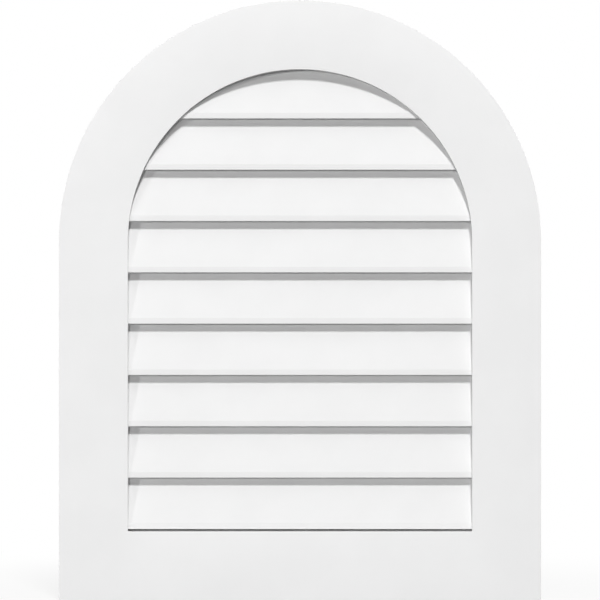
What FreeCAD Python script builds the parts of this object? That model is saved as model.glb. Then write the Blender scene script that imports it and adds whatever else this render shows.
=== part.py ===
import FreeCAD, Part
import math
import os
import Sketcher

# Arch-top louvred gable vent: a flat trim frame with a louvre box housed in its back.
# Millimetres. X runs across the vent, Z up, and the front faces -Y.
# The origin is on the wall plane, at mid-width of the bottom edge.

SIZES = {
    # flat trim, cut in one piece from cellular board
    "trim_width": 622.3,
    "trim_height": 774.7,
    "trim_thickness": 25.4,
    "face_width": 88.9,
    "lip_thickness": 4.8,
    "edge_ease": 0.3,
    # louvre box, four thin liners seated in the rabbet behind the lip
    "liner_thickness": 6.35,
    "rabbet_clearance": 0.2,
    "box_recess": 1.2,
    "upstand_height": 20.0,
    "upstand_thickness": 3.2,
    # louvres, each with an upright nose and a sloped blade
    "louver_count": 9,
    "louver_thickness": 3.0,
    "louver_overlap": 4.5,
    "louver_back_gap": 1.2,
    "nose_height": 7.35,
    "nose_radius": 0.4,
    "nose_setback": 0.3,
    "drain_gap": 2.9,
    # slanted housings in the liners for the louvre ends
    "housing_depth": 3.0,
    "housing_clearance": 0.2,
    # insect screen on the back of the louvre box
    "screen_thickness": 0.6,
    "screen_inset": 0.4,
    "screen_strand": 2.0,
    "screen_columns": 7,
    "screen_rows": 9,
    # staples through the hem of the screen
    "staple_crown": 9.0,
    "staple_leg": 5.0,
    "staple_wire": 0.5,
    "staple_width": 1.2,
    "jamb_staple_count": 4,
    "sill_staple_count": 3,
    "arch_staple_count": 5,
}

# Places worked out from the sizes, as expressions on the sheet
HALF_WIDTH = "sizes.trim_width / 2"
SPRINGING = "(sizes.trim_height - sizes.trim_width / 2)"
OPENING_RADIUS = "(sizes.trim_width / 2 - sizes.face_width)"
OPENING_HEIGHT = "(sizes.trim_height - 2 * sizes.face_width)"
BOX_RADIUS = f"({OPENING_RADIUS} + sizes.liner_thickness)"
BOX_BOTTOM = "(sizes.face_width - sizes.liner_thickness)"
BOX_FRONT = "(sizes.trim_thickness - sizes.lip_thickness)"
BOX_DEPTH = f"({BOX_FRONT} - sizes.box_recess)"
NOSE_PLANE = f"(sizes.nose_setback - {BOX_FRONT})"
LOUVER_PITCH = f"({OPENING_HEIGHT} / sizes.louver_count)"
LOUVER_RISE = f"({LOUVER_PITCH} + sizes.louver_overlap)"
SCREEN_BACK = "(sizes.box_recess - sizes.screen_thickness)"
GAP_WIDTH = f"((2 * {OPENING_RADIUS} - sizes.screen_strand) / sizes.screen_columns - sizes.screen_strand)"
GAP_HEIGHT = f"(({OPENING_HEIGHT} - sizes.screen_strand) / sizes.screen_rows - sizes.screen_strand)"

# Turns a drawing into the upright side plane, and into the upright front plane
TO_SIDE = FreeCAD.Rotation(FreeCAD.Vector(1, 1, 1), 120)
TO_FRONT = FreeCAD.Rotation(FreeCAD.Vector(1, 0, 0), 90)


def make_sheet(doc):
    sheet = doc.addObject("Spreadsheet::Sheet", "sizes")
    for row, (alias, value) in enumerate(SIZES.items(), start=1):
        sheet.set(f"A{row}", alias)
        sheet.set(f"B{row}", str(value))
        sheet.setAlias(f"B{row}", alias)
    doc.recompute()
    return sheet


def value_of(sheet, expression):
    """The number that an expression on the sheet comes to."""
    return float(sheet.evalExpression(expression))


def bind(thing, bindings):
    for prop, expression in bindings.items():
        thing.setExpression(prop, expression)


def dimension(sketch, name, expression, *constraint):
    """Adds a driving dimension to a sketch and binds it to the sheet."""
    index = sketch.addConstraint(Sketcher.Constraint(*constraint))
    sketch.renameConstraint(index, name)
    sketch.setExpression(f"Constraints.{name}", expression)


def body_sketch(body, name, role):
    sketch = body.newObject("Sketcher::SketchObject", name)
    plane = next(f for f in body.Origin.OriginFeatures if f.Role == role)
    sketch.AttachmentSupport = [(plane, "")]
    sketch.MapMode = "FlatFace"
    return sketch


def free_sketch(doc, name, turn):
    sketch = doc.addObject("Sketcher::SketchObject", name)
    sketch.Placement = FreeCAD.Placement(FreeCAD.Vector(), turn)
    return sketch


def draw_ring(sketch, points):
    """Straight lines from point to point, closed, with their ends joined."""
    corners = [FreeCAD.Vector(x, y) for x, y in points]
    lines = [sketch.addGeometry(Part.LineSegment(a, b)) for a, b in zip(corners, corners[1:] + corners[:1])]
    for a, b in zip(lines, lines[1:] + lines[:1]):
        sketch.addConstraint(Sketcher.Constraint("Coincident", a, 2, b, 1))
    return lines


def draw_arch(sheet, sketch, tag, radius, bottom):
    """A closed outline, square below the springing line and a half circle above it."""
    r = value_of(sheet, radius)
    spring = value_of(sheet, SPRINGING)
    low = value_of(sheet, bottom) if bottom else 0
    foot_left, foot_right = FreeCAD.Vector(-r, low), FreeCAD.Vector(r, low)
    sill = sketch.addGeometry(Part.LineSegment(foot_left, foot_right))
    right = sketch.addGeometry(Part.LineSegment(foot_right, FreeCAD.Vector(r, spring)))
    circle = Part.Circle(FreeCAD.Vector(0, spring), FreeCAD.Vector(0, 0, 1), r)
    arch = sketch.addGeometry(Part.ArcOfCircle(circle, 0, math.pi))
    left = sketch.addGeometry(Part.LineSegment(FreeCAD.Vector(-r, spring), foot_left))
    sketch.addConstraint([
        Sketcher.Constraint("Coincident", sill, 2, right, 1),
        Sketcher.Constraint("Tangent", right, 2, arch, 1),
        Sketcher.Constraint("Tangent", arch, 2, left, 1),
        Sketcher.Constraint("Coincident", left, 2, sill, 1),
        Sketcher.Constraint("Horizontal", sill),
        Sketcher.Constraint("Vertical", right),
        Sketcher.Constraint("Vertical", left),
        Sketcher.Constraint("PointOnObject", arch, 3, -2),
    ])
    dimension(sketch, tag + "_radius", radius, "Radius", arch, r)
    dimension(sketch, tag + "_springing", SPRINGING, "DistanceY", -1, 1, arch, 3, spring)
    if bottom:
        dimension(sketch, tag + "_bottom", bottom, "DistanceY", -1, 1, sill, 1, low)
    else:
        sketch.addConstraint(Sketcher.Constraint("PointOnObject", sill, 1, -1))


def pad(body, name, sketch, length):
    feature = body.newObject("PartDesign::Pad", name)
    feature.Profile = sketch
    bind(feature, {"Length": length})
    return feature


def pocket(body, name, sketch, depth):
    """A pocket sunk from its sketch towards the front of the vent."""
    feature = body.newObject("PartDesign::Pocket", name)
    feature.Profile = sketch
    feature.Reversed = True
    bind(feature, {"Length": depth})
    return feature


def boolean(doc, kind, name, base, tool):
    result = doc.addObject(kind, name)
    result.Base = base
    result.Tool = tool
    return result


def edges_in_plane(shape, y):
    """Numbers of the edges that lie in an upright plane facing the front."""
    return [i for i, edge in enumerate(shape.Edges, start=1)
            if abs(edge.BoundBox.YMin - y) < 1e-6 and abs(edge.BoundBox.YMax - y) < 1e-6]


def make_trim(doc, sheet):
    """The flat frame: outline, opening cut through, rabbet behind a lip, eased front edges."""
    body = doc.addObject("PartDesign::Body", "face_trim")
    outline = body_sketch(body, "trim_outline", "XZ_Plane")
    draw_arch(sheet, outline, "trim", HALF_WIDTH, None)
    pad(body, "trim_board", outline, "sizes.trim_thickness")
    opening = body_sketch(body, "opening_outline", "XZ_Plane")
    draw_arch(sheet, opening, "opening", OPENING_RADIUS, "sizes.face_width")
    pocket(body, "trim_opening", opening, "sizes.trim_thickness")
    rabbet = body_sketch(body, "rabbet_outline", "XZ_Plane")
    draw_arch(sheet, rabbet, "rabbet", f"{BOX_RADIUS} + sizes.rabbet_clearance",
              f"{BOX_BOTTOM} - sizes.rabbet_clearance")
    seat = pocket(body, "trim_rabbet", rabbet, BOX_FRONT)
    doc.recompute()
    front_edges = edges_in_plane(seat.Shape, -sheet.trim_thickness)
    ease = body.newObject("PartDesign::Fillet", "trim_edges")
    ease.Base = (seat, [f"Edge{i}" for i in front_edges])
    bind(ease, {"Radius": "sizes.edge_ease"})
    return body


def nose_bottom(steps_up):
    """Height of the underside of a louvre's nose, counted up from the lowest louvre."""
    return f"(sizes.face_width + sizes.drain_gap + {steps_up} * {LOUVER_PITCH})"


def draw_louver_section(sheet, sketch, steps_up):
    """An upright nose, then a blade that leans back until its top edge nears the screen."""
    wall = sheet.louver_thickness
    front = value_of(sheet, NOSE_PLANE)
    back = -sheet.box_recess - sheet.louver_back_gap
    low = value_of(sheet, nose_bottom(steps_up))
    bend = low + sheet.nose_height
    rise = value_of(sheet, LOUVER_RISE)
    nose, blade, top, blade_back, nose_back, underside = draw_ring(sketch, [
        (front, low), (front, bend), (back - wall, low + rise),
        (back, low + rise), (front + wall, bend), (front + wall, low)])
    sketch.addConstraint([
        Sketcher.Constraint("Vertical", nose),
        Sketcher.Constraint("Vertical", nose_back),
        Sketcher.Constraint("Horizontal", underside),
        Sketcher.Constraint("Parallel", blade, blade_back),
        Sketcher.Constraint("Perpendicular", blade, top),
    ])
    dimension(sketch, "nose_plane", NOSE_PLANE, "DistanceX", -1, 1, nose, 1, front)
    dimension(sketch, "nose_bottom", nose_bottom(steps_up), "DistanceY", -1, 1, nose, 1, low)
    dimension(sketch, "nose_height", "sizes.nose_height", "DistanceY", nose, 1, nose, 2, bend - low)
    dimension(sketch, "nose_wall", "sizes.louver_thickness", "DistanceX", nose, 1, underside, 1, wall)
    dimension(sketch, "blade_wall", "sizes.louver_thickness", "Distance", top, wall)
    dimension(sketch, "blade_rise", LOUVER_RISE, "DistanceY", nose, 1, blade, 2, rise)
    dimension(sketch, "blade_back", "-sizes.box_recess - sizes.louver_back_gap",
              "DistanceX", -1, 1, top, 2, back)


def carry_across(doc, name, section):
    """A side section carried evenly to both sides, past the ends of the louvre box."""
    bar = doc.addObject("Part::Extrusion", name)
    bar.Base = section
    bar.DirMode = "Custom"
    bar.Dir = FreeCAD.Vector(1, 0, 0)
    bar.Solid = True
    bar.Symmetric = True
    bind(bar, {"LengthFwd": "sizes.trim_width"})
    return bar


def arch_prism(doc, sheet, name, radius):
    """The outline of the louvre box, grown to a radius and carried through the trim."""
    outline = free_sketch(doc, name + "_outline", TO_FRONT)
    draw_arch(sheet, outline, name, radius, BOX_BOTTOM)
    prism = doc.addObject("Part::Extrusion", name)
    prism.Base = outline
    prism.DirMode = "Normal"
    prism.Solid = True
    bind(prism, {"LengthFwd": "sizes.trim_thickness"})
    return prism


def make_louver(doc, sheet, number, steps_up, louver_limit, housing_limit):
    """One louvre and the housing it needs, of one section, with their ends cut to the arch."""
    section = free_sketch(doc, f"louver_{number}_section", TO_SIDE)
    draw_louver_section(sheet, section, steps_up)
    bar = carry_across(doc, f"louver_{number}_bar", section)
    doc.recompute()
    soft_bar = doc.addObject("Part::Fillet", f"louver_{number}_soft_bar")
    soft_bar.Base = bar
    soft_bar.Edges = [(i, sheet.nose_radius, sheet.nose_radius)
                      for i in edges_in_plane(bar.Shape, value_of(sheet, NOSE_PLANE))
                      if bar.Shape.Edges[i - 1].BoundBox.XLength > sheet.nose_height]
    louver = boolean(doc, "Part::Common", f"louver_{number}", soft_bar, louver_limit)
    grown = doc.addObject("Part::Offset2D", f"housing_{number}_section")
    grown.Source = section
    grown.Join = "Intersection"
    bind(grown, {"Value": "sizes.housing_clearance"})
    slot = carry_across(doc, f"housing_{number}_bar", grown)
    housing = boolean(doc, "Part::Common", f"housing_{number}", slot, housing_limit)
    return louver, housing


def make_louvers(doc, sheet):
    """Louvres from the crown down, which share the height of the opening evenly."""
    housing_floor = f"({OPENING_RADIUS} + sizes.housing_depth)"
    louver_limit = arch_prism(doc, sheet, "louver_limit", f"{housing_floor} - sizes.housing_clearance")
    housing_limit = arch_prism(doc, sheet, "housing_limit", housing_floor)
    count = int(sheet.louver_count)
    return [make_louver(doc, sheet, number, count - number, louver_limit, housing_limit)
            for number in range(1, count + 1)]


def make_staple(doc, sheet):
    """One wire staple, a flat crown with two legs, drawn on its side and padded to its width."""
    body = doc.addObject("PartDesign::Body", "staple")
    sketch = body_sketch(body, "staple_section", "XY_Plane")
    half, wire, leg = sheet.staple_crown / 2, sheet.staple_wire, sheet.staple_leg
    lines = draw_ring(sketch, [
        (-half, 0), (half, 0), (half, -leg), (half - wire, -leg), (half - wire, -wire),
        (wire - half, -wire), (wire - half, -leg), (-half, -leg)])
    crown, outside, right_foot, _, under, _, left_foot, _ = lines
    for i, line in enumerate(lines):
        sketch.addConstraint(Sketcher.Constraint("Vertical" if i % 2 else "Horizontal", line))
    sketch.addConstraint([
        Sketcher.Constraint("PointOnObject", crown, 1, -1),
        Sketcher.Constraint("Equal", right_foot, left_foot),
        Sketcher.Constraint("PointOnObject", left_foot, 1, right_foot),
    ])
    dimension(sketch, "crown", "sizes.staple_crown", "DistanceX", crown, 1, crown, 2, 2 * half)
    dimension(sketch, "crown_end", "sizes.staple_crown / 2", "DistanceX", -1, 1, crown, 2, half)
    dimension(sketch, "leg", "sizes.staple_leg", "DistanceY", outside, 2, outside, 1, leg)
    dimension(sketch, "foot", "sizes.staple_wire", "DistanceX", right_foot, 2, right_foot, 1, wire)
    dimension(sketch, "wire", "sizes.staple_wire", "DistanceY", under, 1, crown, 2, wire)
    pad(body, "staple_pad", sketch, "sizes.staple_width").SideType = "Symmetric"
    doc.recompute()
    return body.Shape


def spread(low, high, count):
    """Even places between two limits, half a step clear of each end."""
    step = (high - low) / count
    return [low + (i + 0.5) * step for i in range(int(count))]


def make_staples(doc, sheet):
    """Copies of the staple round the hem, on the whole wood of the liners outside the housings."""
    staple = make_staple(doc, sheet)
    edge = value_of(sheet, OPENING_RADIUS)
    spring = value_of(sheet, SPRINGING)
    offset = (sheet.housing_depth + sheet.liner_thickness) / 2
    line = edge + offset
    places = [(x, sheet.face_width - offset, 0) for x in spread(-edge, edge, sheet.sill_staple_count)]
    for z in spread(sheet.face_width, spring, sheet.jamb_staple_count):
        places += [(-line, z, 90), (line, z, 90)]
    for angle in spread(0, 180, sheet.arch_staple_count):
        turn = math.radians(angle)
        places.append((line * math.cos(turn), spring + line * math.sin(turn), angle + 90))
    crown_top = sheet.staple_wire - value_of(sheet, SCREEN_BACK)
    copies = []
    for x, z, angle in places:
        turn = FreeCAD.Rotation(FreeCAD.Vector(0, -1, 0), angle)
        copies.append(staple.copy())
        copies[-1].Placement = FreeCAD.Placement(FreeCAD.Vector(x, crown_top, z), turn)
    staples = doc.addObject("Part::Feature", "screen_staples")
    staples.Shape = Part.makeCompound(copies)
    return staples


def draw_gap(sheet, sketch):
    """The first gap of the screen, at its lower left, one strand inside the opening."""
    left = value_of(sheet, f"sizes.screen_strand - {OPENING_RADIUS}")
    low = value_of(sheet, "sizes.face_width + sizes.screen_strand")
    wide, high = value_of(sheet, GAP_WIDTH), value_of(sheet, GAP_HEIGHT)
    bottom, right, top, side = draw_ring(sketch, [
        (left, low), (left + wide, low), (left + wide, low + high), (left, low + high)])
    for line in (bottom, top):
        sketch.addConstraint(Sketcher.Constraint("Horizontal", line))
    for line in (right, side):
        sketch.addConstraint(Sketcher.Constraint("Vertical", line))
    dimension(sketch, "gap_left", f"sizes.screen_strand - {OPENING_RADIUS}",
              "DistanceX", -1, 1, bottom, 1, left)
    dimension(sketch, "gap_low", "sizes.face_width + sizes.screen_strand", "DistanceY", -1, 1, bottom, 1, low)
    dimension(sketch, "gap_width", GAP_WIDTH, "DistanceX", bottom, 1, bottom, 2, wide)
    dimension(sketch, "gap_height", GAP_HEIGHT, "DistanceY", right, 1, right, 2, high)


def make_screen(doc, sheet, staples):
    """The screen: a thin sheet opened into strands, with a whole hem over the liners."""
    body = doc.addObject("PartDesign::Body", "screen_sheet")
    edge = f"{BOX_RADIUS} - sizes.screen_inset"
    edge_bottom = f"{BOX_BOTTOM} + sizes.screen_inset"
    outline = body_sketch(body, "screen_outline", "XZ_Plane")
    draw_arch(sheet, outline, "screen", edge, edge_bottom)
    gap = body_sketch(body, "screen_gap", "XZ_Plane")
    draw_gap(sheet, gap)
    hem = body_sketch(body, "screen_hem", "XZ_Plane")
    draw_arch(sheet, hem, "hem_edge", edge, edge_bottom)
    draw_arch(sheet, hem, "hem_inside", OPENING_RADIUS, "sizes.face_width")
    for sketch in (outline, gap, hem):
        bind(sketch, {"AttachmentOffset.Base.z": SCREEN_BACK})
    pad(body, "screen_web", outline, "sizes.screen_thickness")
    first_gap = pocket(body, "screen_first_gap", gap, "sizes.screen_thickness")
    doc.recompute()
    gaps = body.newObject("PartDesign::LinearPattern", "screen_gaps")
    gaps.Originals = [first_gap]
    gaps.Direction = (gap, ["H_Axis"])
    gaps.Direction2 = (gap, ["V_Axis"])
    gaps.Mode = "Spacing"
    gaps.Mode2 = "Spacing"
    bind(gaps, {
        "Occurrences": "sizes.screen_columns",
        "Occurrences2": "sizes.screen_rows",
        "Offset": f"{GAP_WIDTH} + sizes.screen_strand",
        "Offset2": f"{GAP_HEIGHT} + sizes.screen_strand",
    })
    body.Tip = gaps
    doc.recompute()
    pad(body, "screen_hem_band", hem, "sizes.screen_thickness")
    return boolean(doc, "Part::Cut", "insect_screen", body, staples)


def make_box_blank(doc, name, left, length, depth, height):
    """A straight board of the louvre box, from its back forwards, standing on the bottom of the rabbet."""
    blank = doc.addObject("Part::Box", name)
    bind(blank, {
        "Length": length,
        "Width": depth,
        "Height": height,
        "Placement.Base.x": left,
        "Placement.Base.y": f"-sizes.box_recess - {depth}",
        "Placement.Base.z": BOX_BOTTOM,
    })
    return blank


def make_head_blank(doc):
    """The bent liner: half a tube, standing on the tops of the jambs."""
    halves = []
    for name, radius in (("head_outside", BOX_RADIUS), ("head_inside", OPENING_RADIUS)):
        half = doc.addObject("Part::Cylinder", name)
        half.Placement = FreeCAD.Placement(FreeCAD.Vector(), TO_FRONT)
        half.Angle = 180
        bind(half, {
            "Radius": radius,
            "Height": BOX_DEPTH,
            "Placement.Base.y": "-sizes.box_recess",
            "Placement.Base.z": SPRINGING,
        })
        halves.append(half)
    return boolean(doc, "Part::Cut", "head_blank", *halves)


def make_sill_blank(doc):
    """The sill between the jambs, with an upstand at its back that keeps out driven rain."""
    left, length = f"-{OPENING_RADIUS}", f"2 * {OPENING_RADIUS}"
    board = make_box_blank(doc, "sill_board", left, length, BOX_DEPTH, "sizes.liner_thickness")
    upstand = make_box_blank(doc, "sill_upstand", left, length, "sizes.upstand_thickness",
                             "sizes.liner_thickness + sizes.upstand_height")
    blank = boolean(doc, "Part::Fuse", "sill_blank", board, upstand)
    blank.Refine = True
    return blank


def make_liners(doc, housings, staples):
    """The louvre box: jambs and head cut for the louvre ends, and the sill between the jambs."""
    cuts = doc.addObject("Part::Compound", "liner_cuts")
    cuts.Links = housings + [staples]
    jamb_height = f"{SPRINGING} - {BOX_BOTTOM}"
    blanks = {
        "jamb_left": make_box_blank(doc, "jamb_left_blank", f"-{BOX_RADIUS}",
                                    "sizes.liner_thickness", BOX_DEPTH, jamb_height),
        "jamb_right": make_box_blank(doc, "jamb_right_blank", OPENING_RADIUS,
                                     "sizes.liner_thickness", BOX_DEPTH, jamb_height),
        "sill_liner": make_sill_blank(doc),
        "arch_head": make_head_blank(doc),
    }
    return [boolean(doc, "Part::Cut", name, blank, cuts) for name, blank in blanks.items()]


def check(doc, pieces):
    failed = [thing.Name for thing in doc.Objects if {"Invalid", "Error"} & set(thing.State)]
    failed += [piece.Name for piece in pieces if piece.Shape.isNull() or not piece.Shape.isValid()]
    if failed:
        raise RuntimeError("failed: " + ", ".join(failed))


def export(pieces):
    os.makedirs("parts", exist_ok=True)
    for piece in pieces:
        solids = piece.Shape.Solids
        shape = solids[0] if len(solids) == 1 else Part.makeCompound(solids)
        shape.exportStep(f"parts/{piece.Label}.step")


def main():
    doc = FreeCAD.newDocument("gable_vent")
    sheet = make_sheet(doc)
    trim = make_trim(doc, sheet)
    louvers, housings = zip(*make_louvers(doc, sheet))
    staples = make_staples(doc, sheet)
    screen = make_screen(doc, sheet, staples)
    liners = make_liners(doc, list(housings), staples)
    pieces = [trim, *liners, *louvers, screen, staples]
    doc.recompute()
    check(doc, pieces)
    export(pieces)


main()
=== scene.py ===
import math

import bmesh
import bpy
import numpy as np
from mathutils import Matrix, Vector


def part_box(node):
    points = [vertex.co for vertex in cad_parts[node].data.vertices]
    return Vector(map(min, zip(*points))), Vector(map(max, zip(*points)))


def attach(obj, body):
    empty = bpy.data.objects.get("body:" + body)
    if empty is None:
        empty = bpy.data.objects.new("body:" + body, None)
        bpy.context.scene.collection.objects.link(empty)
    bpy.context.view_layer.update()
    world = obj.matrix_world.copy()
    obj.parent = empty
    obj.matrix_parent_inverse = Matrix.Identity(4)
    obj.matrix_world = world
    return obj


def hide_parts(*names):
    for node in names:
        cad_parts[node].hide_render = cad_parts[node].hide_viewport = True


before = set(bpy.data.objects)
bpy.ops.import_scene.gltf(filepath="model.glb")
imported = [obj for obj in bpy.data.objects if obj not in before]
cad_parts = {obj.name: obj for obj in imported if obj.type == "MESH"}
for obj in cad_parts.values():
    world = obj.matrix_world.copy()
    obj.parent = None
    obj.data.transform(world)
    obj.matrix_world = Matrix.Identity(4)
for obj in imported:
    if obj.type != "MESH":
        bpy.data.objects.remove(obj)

scene = bpy.context.scene
scene.view_settings.view_transform = "Standard"
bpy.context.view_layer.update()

# Louvre box
# Four thin liners of cellular plastic board, made a little greyer than the trim as painted shade for the
# recess behind the lip. They are sawn to width and glued edge to edge behind the lip of the trim. The sawn
# edges show the fine foam cells.
LINERS = ("jamb_left", "jamb_right", "sill_liner", "arch_head")
# painted shade: the liners are coloured greyer than the trim so that the recess behind the lip looks darker
LINER_TONE_PAINTED_SHADE = 0.70
SKIN_SHADE = 0.98
SAWN_SHADE = 0.92
FLAT_FACING = (0.45, 0.75)
MOTTLE_SPREAD = (0.3, 0.7)
BOARD_ROUGHNESS = 0.58


class Signal:
    """One socket of a material. Sums and products of signals and numbers become Math nodes."""

    def __init__(self, tree, socket=None):
        self.tree = tree
        self.socket = socket

    def make(self, kind, settings=None, inputs=None, output=0):
        """Any node: its settings first, then the values or signals of its sockets."""
        node = self.tree.nodes.new("ShaderNode" + kind)
        for name, value in (settings or {}).items():
            setattr(node, name, value)
        for name, value in (inputs or {}).items():
            if isinstance(value, Signal):
                self.tree.links.new(value.socket, node.inputs[name])
            else:
                node.inputs[name].default_value = value
        return Signal(self.tree, node.outputs[output] if node.outputs else None)

    def math(self, operation, first, second=0.0):
        return self.make("Math", {"operation": operation}, {0: first, 1: second})

    def blend(self, first, second):
        """A colour that goes from the first to the second as this signal goes from 0 to 1."""
        return self.make("Mix", {"data_type": "RGBA"}, {0: self, 6: first, 7: second}, output=2)

    def ramp(self, low, high):
        """0 below low, 1 above high and a smooth step between."""
        limits = {"Value": self, "From Min": low, "From Max": high}
        return self.make("MapRange", {"interpolation_type": "SMOOTHSTEP"}, limits)

    def __add__(self, other):
        return self.math("ADD", self, other)

    def __sub__(self, other):
        return self.math("SUBTRACT", self, other)

    def __rsub__(self, other):
        return self.math("SUBTRACT", other, self)

    def __mul__(self, other):
        return self.math("MULTIPLY", self, other)

    __radd__ = __add__
    __rmul__ = __mul__


def new_finish(name):
    """An empty node material and the signal that its nodes are made from."""
    material = bpy.data.materials.new(name)
    material.use_nodes = True
    material.node_tree.nodes.clear()
    return material, Signal(material.node_tree)


def close_finish(material, start, shader_inputs):
    """Ends a material in one Principled shader with these sockets."""
    shader = start.make("BsdfPrincipled", None, shader_inputs)
    start.make("OutputMaterial", None, {"Surface": shader})
    return material


def grey(tone):
    return (tone, tone, tone, 1.0)


def square_to_front(start):
    """How squarely a surface faces the front or the back: the size of its normal's y."""
    normal = start.make("NewGeometry", output="Normal")
    return start.math("ABSOLUTE", start.make("SeparateXYZ", None, {0: normal}, output="Y"))


def cellular_board(name, tone, on_edge):
    """Foamed plastic board: mottled satin skins, and rougher sawn edges pitted by the cells. A board that
    lies flat to the wall has its skins in front and behind, and one on edge has its sawn edges there."""
    material, start = new_finish(name)
    place = start.make("TexCoord", output="Object")
    flat = square_to_front(start).ramp(*FLAT_FACING)
    sawn = flat if on_edge else 1 - flat
    clouds = start.make("TexNoise", None, {"Vector": place, "Scale": 14.0, "Detail": 3.0})
    grain = start.make("TexNoise", None, {"Vector": place, "Scale": 900.0, "Detail": 3.0})
    cells = start.make("TexVoronoi", None, {"Vector": place, "Scale": 1400.0})
    skin = clouds.ramp(*MOTTLE_SPREAD).blend(grey(tone * SKIN_SHADE), grey(tone))
    colour = sawn.blend(skin, grey(tone * SAWN_SHADE))
    height = grain * (1 - sawn) + cells * sawn * 3.0
    bump = start.make("Bump", None, {"Height": height, "Strength": 0.35, "Distance": 0.00006})
    return close_finish(material, start, {
        "Base Color": colour,
        "Roughness": BOARD_ROUGHNESS + grain * 0.1 + sawn * 0.2,
        "Normal": bump,
    })


def dress(node, material):
    """Gives a kept piece of the frame its finish."""
    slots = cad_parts[node].data.materials
    slots.clear()
    slots.append(material)


# the liners' board takes the greyer tone, which is painted shade in the recess
liner_board = cellular_board("liner_board", LINER_TONE_PAINTED_SHADE, on_edge=True)
for liner in LINERS:
    dress(liner, liner_board)

# Louvres
# Nine extruded slats, each with an upright nose and a blade that leans back to the screen. They are cut
# to the arch at their ends and glued into slanted housings in the liners.
SLAT_COUNT = 9
NOSE_HEIGHT = 0.00735
NOSE_RADIUS = 0.0004
BEND_RADIUS = 0.002
CUT_EASE = 0.0002
SLAT_WALL = 0.003
SLAT_STEP = 0.0025
ROUND_STEPS = 7
LEAN_ROUNDS = 8
SAME_POINT = 1e-7
SHARP_ANGLE = math.radians(32)
# painted shade: the blades face up towards the lamps, so their colour is made darker than the noses'
BLADE_TONE_PAINTED_SHADE = 0.845
NOSE_TONE = 0.895
NOSE_FACING = (0.97, 0.995)
SLAT_ROUGHNESS = 0.62

jamb_low, jamb_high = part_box("jamb_right")
opening_half = jamb_low.x
springing = jamb_high.z
low_slat, low_slat_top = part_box(f"louver_{SLAT_COUNT}")
slat_reach = low_slat_top.x


def eased(corners, radii, steps=ROUND_STEPS):
    """A closed outline: each corner is swept by a round of its radius, tangent to its two sides. The
    spokes of the round go from one tangent point to the other in even shares."""
    corners = np.array(corners, float)
    radii = np.array(radii)[:, None]
    before = np.roll(corners, 1, axis=0) - corners
    after = np.roll(corners, -1, axis=0) - corners
    before /= np.linalg.norm(before, axis=1, keepdims=True)
    after /= np.linalg.norm(after, axis=1, keepdims=True)
    half = np.arccos(np.clip((before * after).sum(1, keepdims=True), -1, 1)) / 2
    inward = before + after
    inward /= np.linalg.norm(inward, axis=1, keepdims=True)
    to_centre = inward * radii / np.sin(half)
    tangent = radii / np.tan(half)
    first, last = before * tangent - to_centre, after * tangent - to_centre
    share = np.linspace(0, 1, steps)[None, :, None]
    spokes = first[:, None] * (1 - share) + last[:, None] * share
    spokes *= radii[:, None] / np.linalg.norm(spokes, axis=2, keepdims=True)
    return ((corners + to_centre)[:, None] + spokes).reshape(-1, 2)


def put_mesh(name, points, faces, material, sharp=SHARP_ANGLE):
    """A closed mesh from arrays: doubles merged, faces turned outwards, smooth up to a sharp angle."""
    mesh = bpy.data.meshes.new(name)
    mesh.from_pydata(points.reshape(-1, 3).tolist(), [], faces)
    work = bmesh.new()
    work.from_mesh(mesh)
    bmesh.ops.remove_doubles(work, verts=work.verts, dist=SAME_POINT)
    bmesh.ops.dissolve_degenerate(work, edges=work.edges, dist=SAME_POINT / 10)
    bmesh.ops.recalc_face_normals(work, faces=work.faces)
    work.to_mesh(mesh)
    work.free()
    mesh.polygons.foreach_set("use_smooth", np.ones(len(mesh.polygons), bool))
    mesh.set_sharp_from_angle(angle=sharp)
    mesh.materials.append(material)
    piece = bpy.data.objects.new(name, mesh)
    scene.collection.objects.link(piece)
    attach(piece, "root")
    return piece


def grid_faces(rows, columns, close_rows=False, close_columns=False):
    """Quads of a grid of points, wrapped round where a direction closes on itself."""
    i, j = np.meshgrid(np.arange(rows if close_rows else rows - 1),
                       np.arange(columns if close_columns else columns - 1), indexing="ij")
    i, j = i.ravel(), j.ravel()
    i2, j2 = (i + 1) % rows, (j + 1) % columns
    return np.stack([i * columns + j, i2 * columns + j, i2 * columns + j2, i * columns + j2], axis=1).tolist()


def half_length(z):
    """How far a slat reaches from the middle: straight below the springing line, round the arch above."""
    rise = np.maximum(0, z - springing)
    return np.sqrt(np.maximum(0, slat_reach ** 2 - rise ** 2))


def extruded_slat(name):
    """Extruded plastic: satin, with faint lines drawn along its length. The blade is a painted shade darker
    than the nose, against the extra lamp light on its upward face.
    """
    material, start = new_finish(name)
    place = start.make("TexCoord", output="Object")
    nose = square_to_front(start).ramp(*NOSE_FACING)
    along = start.make("Mapping", None, {"Vector": place, "Scale": (6.0, 900.0, 900.0)})
    lines = start.make("TexNoise", None, {"Vector": along, "Scale": 1.0, "Detail": 3.0})
    clouds = start.make("TexNoise", None, {"Vector": place, "Scale": 18.0, "Detail": 3.0})
    grain = start.make("TexNoise", None, {"Vector": place, "Scale": 1100.0, "Detail": 2.0})
    height = lines * 0.7 + grain * 0.3
    bump = start.make("Bump", None, {"Height": height, "Strength": 0.3, "Distance": 0.00005})
    # painted shade: where the facing mask finds a blade rather than a nose, the darker blade tone is used
    dull = nose.blend(grey(BLADE_TONE_PAINTED_SHADE * SKIN_SHADE), grey(NOSE_TONE * SKIN_SHADE))
    clean = nose.blend(grey(BLADE_TONE_PAINTED_SHADE), grey(NOSE_TONE))
    return close_finish(material, start, {
        "Base Color": clouds.ramp(*MOTTLE_SPREAD).blend(dull, clean),
        "Roughness": SLAT_ROUGHNESS + lines * 0.14,
        "Normal": bump,
    })


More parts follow.
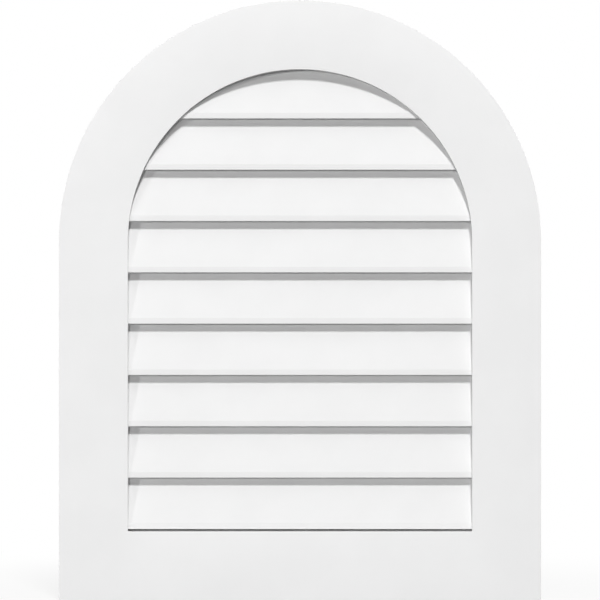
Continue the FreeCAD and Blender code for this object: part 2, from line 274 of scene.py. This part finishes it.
def refined(outline, longest):
    """A closed outline with its long straight sides split into even steps."""
    side = np.roll(outline, -1, axis=0) - outline
    count = np.maximum(1, np.ceil(np.linalg.norm(side, axis=1) / longest)).astype(int)
    which = np.repeat(np.arange(len(outline)), count)
    order = np.arange(len(which)) - np.repeat(np.cumsum(count) - count, count)
    return outline[which] + side[which] * (order / count[which])[:, None]


def cut_below(outline, level):
    """The part of a closed (y, z) outline below a level, closed along that level: the points below it
    are kept, and each side that crosses it adds the point where it does."""
    side = np.roll(outline, -1, axis=0) - outline
    above = outline[:, 1] - level
    next_above = above + side[:, 1]
    crosses = above * next_above < 0
    share = np.divide(above, above - next_above, out=np.zeros_like(above), where=crosses)
    pairs = np.stack([outline, outline + side * share[:, None]], axis=1)
    return pairs[np.stack([above <= 0, crosses], axis=1)]


def slat_section(front, bottom, back, rise):
    """The side outline of a slat: the nose stands upright, and the blade leans back at an even thickness.
    The lean and the place of the blade's top depend on each other, so they are found in a few rounds."""
    bend = bottom + NOSE_HEIGHT
    lean = 0.0
    for _ in range(LEAN_ROUNDS):
        lean = math.atan2(back - SLAT_WALL * math.cos(lean) - front, rise - NOSE_HEIGHT)
    top = np.array([back - SLAT_WALL * math.cos(lean), bottom + rise])
    top_back = top + SLAT_WALL * np.array([math.cos(lean), -math.sin(lean)])
    inner_bend = top_back[1] - (back - front - SLAT_WALL) / math.tan(lean)
    corners = [(front, bottom), (front, bend), top, top_back,
               (front + SLAT_WALL, inner_bend), (front + SLAT_WALL, bottom)]
    return eased(corners, [NOSE_RADIUS, NOSE_RADIUS, CUT_EASE, CUT_EASE, BEND_RADIUS, CUT_EASE])


def slat_mesh(outline):
    """Each (y, z) point of the side outline is carried across to x = -h and x = +h, where h is the half
    length at its height, and the two ends are closed."""
    reach = half_length(outline[:, 1])
    sides = [np.column_stack([sign * reach, outline]) for sign in (-1, 1)]
    count = len(outline)
    faces = grid_faces(2, count, close_columns=True)
    faces += [list(range(count)), list(range(2 * count - 1, count - 1, -1))]
    return np.vstack(sides), faces


slat_plastic = extruded_slat("slat_plastic")
crown = springing + slat_reach
for number in range(1, SLAT_COUNT + 1):
    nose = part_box(f"louver_{number}")[0]
    section = slat_section(nose.y, nose.z, low_slat_top.y, low_slat_top.z - low_slat.z)
    section = cut_below(refined(section, SLAT_STEP), crown)
    slat = put_mesh(f"slat_{number}", *slat_mesh(section), slat_plastic)
    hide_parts(f"louver_{number}")

# Trim
# The flat frame is routed in one piece from white board an inch thick. Its front edges are eased, and a
# rabbet at its back takes the louvre box and leaves a thin lip round the opening.
TRIM_TONE = 0.90
EDGE_EASE = 0.0003
SEAT_CLEARANCE = 0.0002
ARCH_STEPS = 180
SIDE_STEPS = 12

trim_low, trim_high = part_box("face_trim")
sill_top = jamb_low.z + jamb_high.x - jamb_low.x


def opening_path():
    """Points round the opening, from the foot of the right side over the arch, each with the way that an
    outward offset moves it: radial on the arch, square on the sides, and shared at the two mitres."""
    climb = np.linspace(1, 0, SIDE_STEPS + 1)[:-1]
    angle = np.linspace(0, math.pi, ARCH_STEPS + 1)
    side_z = springing + climb * (sill_top - springing)
    ones = np.ones_like(climb)
    right = np.column_stack([ones * opening_half, side_z, ones, -climb])
    arch = np.column_stack([opening_half * np.cos(angle), springing + opening_half * np.sin(angle),
                            np.cos(angle), np.sin(angle)])
    left = right[::-1] * (-1, 1, -1, 1)
    across = np.linspace(-1, 1, SIDE_STEPS + 1)[1:-1]
    foot = np.column_stack([across * opening_half, np.full_like(across, sill_top), across,
                            -np.ones_like(across)])
    return np.vstack([right, arch, left, foot])


def ring_mesh(outline):
    """A closed outline of (offset, y) points carried round the opening path."""
    path = opening_path()
    offset, depth = outline[:, 0], outline[:, 1]
    x = path[:, :1] + path[:, 2:3] * offset
    z = path[:, 1:2] + path[:, 3:] * offset
    y = np.broadcast_to(depth, x.shape)
    return np.stack([x, y, z], axis=2), grid_faces(len(path), len(outline), True, True)


face_width = trim_high.x - opening_half
seat_width = jamb_high.x - opening_half + SEAT_CLEARANCE
trim_section = eased([(0, trim_low.y), (face_width, trim_low.y), (face_width, trim_high.y),
                      (seat_width, trim_high.y), (seat_width, jamb_low.y), (0, jamb_low.y)],
                     [EDGE_EASE, EDGE_EASE, EDGE_EASE, CUT_EASE, CUT_EASE, CUT_EASE])
trim_board = cellular_board("trim_board", TRIM_TONE, on_edge=False)
trim = put_mesh("trim", *ring_mesh(trim_section), trim_board)
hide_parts("face_trim")

# Insect screen
# Galvanised wire cloth of an eighth of an inch, cut to the arch and laid over the back of the louvre box.
# The upright wires lie in one layer and the level wires in the next.
WIRE_PITCH = 0.0032
ZINC_DARK = (0.36, 0.37, 0.38, 1.0)
ZINC_LIGHT = (0.56, 0.57, 0.58, 1.0)
ZINC_ROUGHNESS = 0.36
CLOTH_SPANGLE = 220.0
WIRE_SIDES = 6
WIRE_SHARP = math.radians(70)

screen_low, screen_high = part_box("insect_screen")
wire = (screen_high.y - screen_low.y) / 2


def wire_places(low, high):
    """Even places on both sides of the middle, one pitch apart, clear of the two limits."""
    count = int((high - low) / 2 / WIRE_PITCH - 0.5)
    return (low + high) / 2 + WIRE_PITCH * np.arange(-count, count + 1)


def wire_bars(starts, ends, sides=WIRE_SIDES):
    """Round wires from start to end points: each is a ring of points carried straight along its length."""
    along = ends - starts
    along = along / np.linalg.norm(along, axis=1, keepdims=True)
    across = np.cross(along, (0.0, 1.0, 0.0))
    turn = 2 * math.pi * np.arange(sides) / sides
    ring = (np.cos(turn)[None, :, None] * across[:, None, :]
            + np.sin(turn)[None, :, None] * np.array((0.0, 1.0, 0.0))) * wire / 2
    points = np.stack([starts[:, None, :] + ring, ends[:, None, :] + ring], axis=1)
    shift = 2 * sides * np.arange(len(starts))[:, None, None]
    walls = np.array(grid_faces(2, sides, close_columns=True)) + shift
    ends_of_wires = np.arange(2 * sides).reshape(2, sides) + shift
    faces = walls.reshape(-1, 4).tolist() + ends_of_wires.reshape(-1, sides).tolist()
    return points.reshape(-1, 3), faces


def zinc(name, spangle):
    """Zinc-coated steel: grey metal with spangles of slightly different grey and gloss."""
    material, start = new_finish(name)
    place = start.make("TexCoord", output="Object")
    flake = start.make("TexVoronoi", None, {"Vector": place, "Scale": spangle}, output="Color")
    tone = start.make("SeparateColor", None, {0: flake})
    haze = start.make("TexNoise", None, {"Vector": place, "Scale": 40.0, "Detail": 4.0})
    bump = start.make("Bump", None, {"Height": haze, "Strength": 0.2, "Distance": 0.0001})
    return close_finish(material, start, {
        "Base Color": (tone * 0.6 + haze * 0.4).blend(ZINC_DARK, ZINC_LIGHT),
        "Metallic": 1.0,
        "Roughness": ZINC_ROUGHNESS + haze * 0.2 + tone * 0.08,
        "Normal": bump,
    })


screen_reach = screen_high.x
upright = wire_places(-screen_reach, screen_reach)
level = wire_places(screen_low.z, screen_high.z)
upright_top = springing + np.sqrt(screen_reach ** 2 - upright ** 2)
level_half = np.sqrt(screen_reach ** 2 - np.maximum(0, level - springing) ** 2)
front_layer = np.full_like(upright, screen_low.y + wire / 2)
back_layer = np.full_like(level, screen_high.y - wire / 2)
starts = np.vstack([np.column_stack([upright, front_layer, np.full_like(upright, screen_low.z)]),
                    np.column_stack([-level_half, back_layer, level])])
ends = np.vstack([np.column_stack([upright, front_layer, upright_top]),
                  np.column_stack([level_half, back_layer, level])])
cloth_zinc = zinc("cloth_zinc", CLOTH_SPANGLE)
cloth = put_mesh("wire_cloth", *wire_bars(starts, ends), cloth_zinc, sharp=WIRE_SHARP)
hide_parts("insect_screen")

# Staples
# Flat-wire staples of galvanised steel with rounded edges, driven through the edge of the cloth into the
# back edges of the liners, so that only their crowns show.
STAPLE_EASE = 0.00014
STAPLE_SPANGLE = 900.0
STAPLE_WELD = 1e-6

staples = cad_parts["screen_staples"]
dress("screen_staples", zinc("staple_zinc", STAPLE_SPANGLE))
weld = staples.modifiers.new("weld", "WELD")
weld.merge_threshold = STAPLE_WELD
rounding = staples.modifiers.new("rounding", "BEVEL")
rounding.width = STAPLE_EASE
rounding.segments = 3

# Floor
# A white ground that the vent stands on for the picture. It keeps the vent's shadow near it and fades to
# plain white further out.
FLOOR_RADIUS = 1.6
FLOOR_GAP = 0.0005
GROUND_WHITE = (0.92, 0.92, 0.92, 1.0)
GROUND_BOUNCE = (0.2, 0.2, 0.2, 1.0)
PLAIN_WHITE = (1.0, 1.0, 1.0, 1.0)
SHADOW_SHARE = 0.16
SHADOW_FADE = (0.2, 1.0)
RINGS, SPOKES = 8, 96

turn = np.linspace(0, 2 * math.pi, SPOKES, endpoint=False)
radius = FLOOR_RADIUS * np.linspace(0, 1, RINGS + 1)[1:, None]
level_ground = np.full((RINGS, SPOKES), trim_low.z - FLOOR_GAP)
ground = np.stack([radius * np.cos(turn), radius * np.sin(turn), level_ground], axis=2)
floor_mesh = bpy.data.meshes.new("floor")
floor_mesh.from_pydata(ground.reshape(-1, 3).tolist(), [],
                       grid_faces(RINGS, SPOKES, close_columns=True) + [list(range(SPOKES))])
floor = bpy.data.objects.new("floor", floor_mesh)
scene.collection.objects.link(floor)


def seen_directly(start):
    """1 for rays from the camera, from mirrors and through glass, 0 for the light that falls on things."""
    rays = [start.make("LightPath", output=f"Is {kind} Ray") for kind in ("Camera", "Glossy", "Transmission")]
    return start.math("MAXIMUM", start.math("MAXIMUM", rays[0], rays[1]), rays[2])


ground_finish, start = new_finish("ground")
place = start.make("TexCoord", output="Object")
far = start.make("VectorMath", {"operation": "LENGTH"}, {0: place}, output="Value").ramp(*SHADOW_FADE)
seen = seen_directly(start)
matt = start.make("BsdfDiffuse", None, {"Color": seen.blend(GROUND_BOUNCE, GROUND_WHITE)})
white = start.make("Emission", None, {"Color": PLAIN_WHITE, "Strength": 1.0})
share = seen * (1 - SHADOW_SHARE * (1 - far))
mixed = start.make("MixShader", None, {0: share, 1: matt, 2: white})
start.make("OutputMaterial", None, {"Surface": mixed})
floor_mesh.materials.append(ground_finish)

# Light
# Each lamp: degrees round from the front, degrees up, metres away, metres wide and tall, watts. The two
# rear lamps light all but the slats, so that their light doesn't come forward. The sky looks white, but
# gives only dim light.
LAMPS = {
    "key": (8.0, 42.0, 14.0, 2.1, 2.1, 1262.0),
    "top": (0.0, 68.0, 3.5, 2.2, 2.2, 18.5),
    "level": (-8.0, 6.5, 12.0, 0.35, 1.2, 245.0),
    "left": (-41.0, 5.0, 7.0, 0.12, 0.12, 80.0),
    "behind": (145.0, 6.0, 4.0, 0.8, 0.8, 34.0),
    "rear_right": (125.0, 8.0, 4.0, 0.8, 0.8, 66.0),
    "rear_left": (-125.0, 8.0, 4.0, 0.8, 0.8, 66.0),
}
SKY_LOW = 0.02
SKY_HIGH = 0.12
SKY_SPREAD = (-0.3, 1.0)

rear_lit = bpy.data.collections.new("rear_lit")
for piece in (trim, cloth, staples, *(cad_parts[liner] for liner in LINERS)):
    rear_lit.objects.link(piece)

middle = Vector((0.0, trim_low.y, (trim_low.z + trim_high.z) / 2))
for name, (azimuth, elevation, distance, width, height, watts) in LAMPS.items():
    light = bpy.data.lights.new(name, "AREA")
    light.shape = "ELLIPSE"
    light.size, light.size_y = width, height
    light.energy = watts
    lamp = bpy.data.objects.new(name, light)
    az, el = math.radians(azimuth), math.radians(elevation)
    towards = Vector((math.sin(az) * math.cos(el), -math.cos(az) * math.cos(el), math.sin(el)))
    lamp.location = middle + towards * distance
    lamp.rotation_euler = towards.to_track_quat("Z", "Y").to_euler()
    lamp.visible_camera = False
    if name.startswith("rear"):
        lamp.light_linking.receiver_collection = rear_lit
    scene.collection.objects.link(lamp)

world = bpy.data.worlds.new("studio")
world.use_nodes = True
world.node_tree.nodes.clear()
sky = Signal(world.node_tree)
upward = sky.make("SeparateXYZ", None, {0: sky.make("TexCoord", output="Generated")}, output="Z")
ambient = SKY_LOW + upward.ramp(*SKY_SPREAD) * (SKY_HIGH - SKY_LOW)
seen = seen_directly(sky)
strength = seen + (1 - seen) * ambient
backdrop = sky.make("Background", None, {"Color": PLAIN_WHITE, "Strength": strength})
sky.make("OutputWorld", None, {"Surface": backdrop})
scene.world = world

# Camera
# Square to the front and well back, so that the depth hardly shows. The vent fills the height of the frame.
CAMERA_DISTANCE = 4.8
CAMERA_RAISE = 0.00055
SENSOR_WIDTH = 36.0

lens = bpy.data.cameras.new("camera")
lens.sensor_width = SENSOR_WIDTH
lens.lens = SENSOR_WIDTH * CAMERA_DISTANCE / (trim_high.z - trim_low.z)
camera = bpy.data.objects.new("camera", lens)
camera.location = middle + Vector((0.0, -CAMERA_DISTANCE, CAMERA_RAISE))
camera.rotation_euler = (math.radians(90), 0.0, 0.0)
scene.collection.objects.link(camera)
scene.camera = camera
